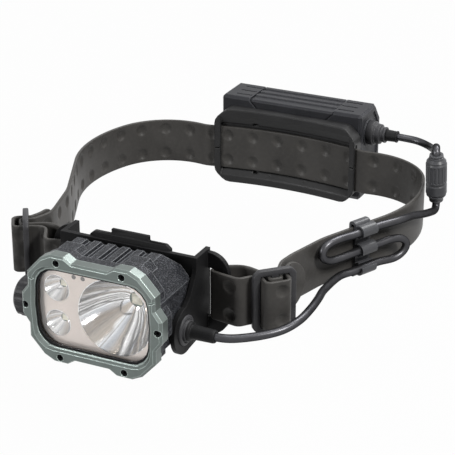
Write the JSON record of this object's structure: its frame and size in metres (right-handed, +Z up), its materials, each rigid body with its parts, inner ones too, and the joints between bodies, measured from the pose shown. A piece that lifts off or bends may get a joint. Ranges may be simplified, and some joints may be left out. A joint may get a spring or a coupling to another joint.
{
  "type": "cap lamp",
  "caption": "Headband cap lamp: tilting LED lamp head with a selector knob, buckled rubber strap, clipped lead with in-line connector, and a rear battery case in a cradle.",
  "frame": {"origin": "centre of the head ring, at half the height of the strap", "axes": "+X to the right seen from the front (the lead side), +Y from the lamp towards the battery case, +Z up"},
  "size_m": [0.2274, 0.287, 0.0729],
  "materials": {
    "bezel_metal": "grey-green anodised",
    "housing_metal": "black fine cast texture",
    "black_screw": "blackened",
    "steel_screw": "bright",
    "clear_lens": "clear",
    "black_rubber": "matt",
    "strap_rubber": "matt, dimpled on the head side",
    "plate_metal": "warm satin",
    "mirror_metal": "bright streaky",
    "led": "phosphor",
    "board": "solder mask",
    "black_plastic": "matt",
    "bracket_plastic": "satin",
    "case_plastic": "matt",
    "washer_steel": "plain",
    "shaft_steel": "plain",
    "foam": "soft foam",
    "lead_sheath": "glossy",
    "contact_brass": "plated",
    "spring_metal": "plated",
    "cell_wrap": "sleeved",
    "socket_steel": "plated"
  },
  "bodies": {
    "headband": {"bracket": "bracket_plastic", "pivot_cap_right": "black_plastic", "pivot_cap_left": "black_plastic", "pad_carrier": "bracket_plastic", "forehead_pad": "foam", "strap": "strap_rubber", "right_buckle": "bracket_plastic", "left_buckle": "bracket_plastic", "cable_clip": "black_plastic", "pivot_relief": "black_rubber", "lamp_lead": "lead_sheath", "connector_plug": "black_plastic", "connector_socket": "black_plastic", "contact_pins": "contact_brass", "battery_lead": "lead_sheath", "battery_relief": "black_rubber", "gland_collar": "black_plastic", "cradle": "bracket_plastic", "cradle_screws": "steel_screw", "case_shell": "case_plastic", "right_cap": "case_plastic", "left_cap": "case_plastic", "cap_seals": "black_rubber", "cap_screws": "steel_screw", "cells": "cell_wrap", "cell_holders": "black_plastic", "contact_springs": "spring_metal", "contact_plates": "spring_metal", "charge_board": "board", "usb_socket": "socket_steel"},
    "lamp_head": {"bezel": "bezel_metal", "bezel_screws": "black_screw", "lens": "clear_lens", "lens_seal": "black_rubber", "reflector_plate": "plate_metal", "spot_reflector": "mirror_metal", "flood_reflectors": "mirror_metal", "indicator_studs": "black_plastic", "spot_led": "led", "flood_leds": "led", "led_board": "board", "flood_board": "board", "driver_board": "board", "housing": "housing_metal", "friction_washers": "washer_steel", "mode_encoder": "black_plastic"},
    "knob": {"mode_knob": "black_plastic", "knob_shaft": "shaft_steel"},
    "sleeve": {"coupling_sleeve": "black_plastic"},
    "port_flap": {"port_cover": "black_rubber"}
  },
  "joints": [
    {"name": "lamp_tilt", "type": "hinge", "parent": "headband", "child": "lamp_head", "pos_m": [0, -0.1225, -0.0104], "axis": [1, 0, 0], "range_deg": [0, 60]},
    {"name": "mode_select", "type": "hinge", "parent": "lamp_head", "child": "knob", "pos_m": [-0.05, -0.1225, -0.0104], "axis": [-1, 0, 0], "range_deg": [0, 270]},
    {"name": "sleeve_twist", "type": "hinge", "parent": "headband", "child": "sleeve", "pos_m": [0.114, 0.052, 0.0228], "axis": [0, -0.1392, 0.9903], "range_deg": [0, 90]},
    {"name": "port_flap_open", "type": "hinge", "parent": "headband", "child": "port_flap", "pos_m": [-0.0478, 0.1279, 0.004], "axis": [0, 0, -1], "range_deg": [0, 110]}
  ]
}
